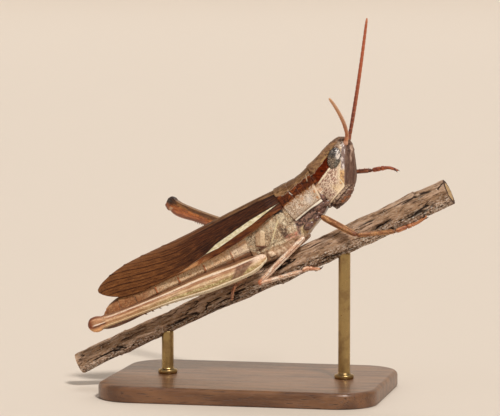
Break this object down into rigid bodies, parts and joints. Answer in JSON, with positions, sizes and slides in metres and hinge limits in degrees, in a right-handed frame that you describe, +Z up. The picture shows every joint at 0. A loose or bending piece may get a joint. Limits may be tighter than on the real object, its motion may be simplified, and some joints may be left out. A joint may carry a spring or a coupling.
{
  "type": "grasshopper",
  "caption": "Slant-faced brown grasshopper with a cream wing stripe, gripping a cut length of rough twig that brass rods hold over a flat wooden base.",
  "frame": {"origin": "middle of the underside of the display base", "axes": "+X along the animal and twig towards the head, +Y to the animal's left, +Z up"},
  "size_m": [0.0387, 0.0267, 0.0375],
  "materials": {
    "cuticle": "mottled tan and brown cuticle, finely pitted, satin",
    "abdomen": "beige cuticle in rings, speckled red-brown, satin",
    "forewing": "dark brown leathery wing cover, close parallel veins, dull",
    "hindwing": "thin folded membrane, smoky tan, satin",
    "eye": "grey compound eye, speckled, glossy",
    "antenna": "red-brown ringed feeler, satin",
    "leg": "cream and red-brown streaked cuticle, satin",
    "bark": "dark fissured bark with pale flecks, rough; pale cut ends",
    "stand_wood": "dark walnut, oiled",
    "stand_brass": "brushed brass"
  },
  "bodies": {
    "root": {"head": "cuticle", "pronotum": "cuticle", "prosternum": "cuticle", "thorax": "cuticle", "abdomen": "abdomen", "abdomen_tip": "abdomen", "perch_twig": "bark", "stand_base": "stand_wood", "stand_rod_rear": "stand_brass", "stand_rod_front": "stand_brass", "eye_right": "eye", "antenna_right": "antenna", "palp_right": "leg", "forewing_right": "forewing", "hindwing_right": "hindwing", "foreleg_right_coxa": "cuticle", "foreleg_right_femur": "leg", "foreleg_right_tibia": "leg", "foreleg_right_foot": "leg", "midleg_right_coxa": "cuticle", "midleg_right_femur": "leg", "midleg_right_tibia": "leg", "midleg_right_foot": "leg", "hindleg_right_coxa": "cuticle", "hindleg_right_femur": "leg", "hindleg_right_tibia": "leg", "hindleg_right_foot": "leg", "eye_left": "eye", "antenna_left": "antenna", "palp_left": "leg", "forewing_left": "forewing", "hindwing_left": "hindwing", "foreleg_left_coxa": "cuticle", "foreleg_left_femur": "leg", "foreleg_left_tibia": "leg", "foreleg_left_foot": "leg", "midleg_left_coxa": "cuticle", "midleg_left_femur": "leg", "midleg_left_tibia": "leg", "midleg_left_foot": "leg", "hindleg_left_coxa": "cuticle", "hindleg_left_femur": "leg", "hindleg_left_tibia": "leg", "hindleg_left_foot": "leg"}
  },
  "joints": []
}
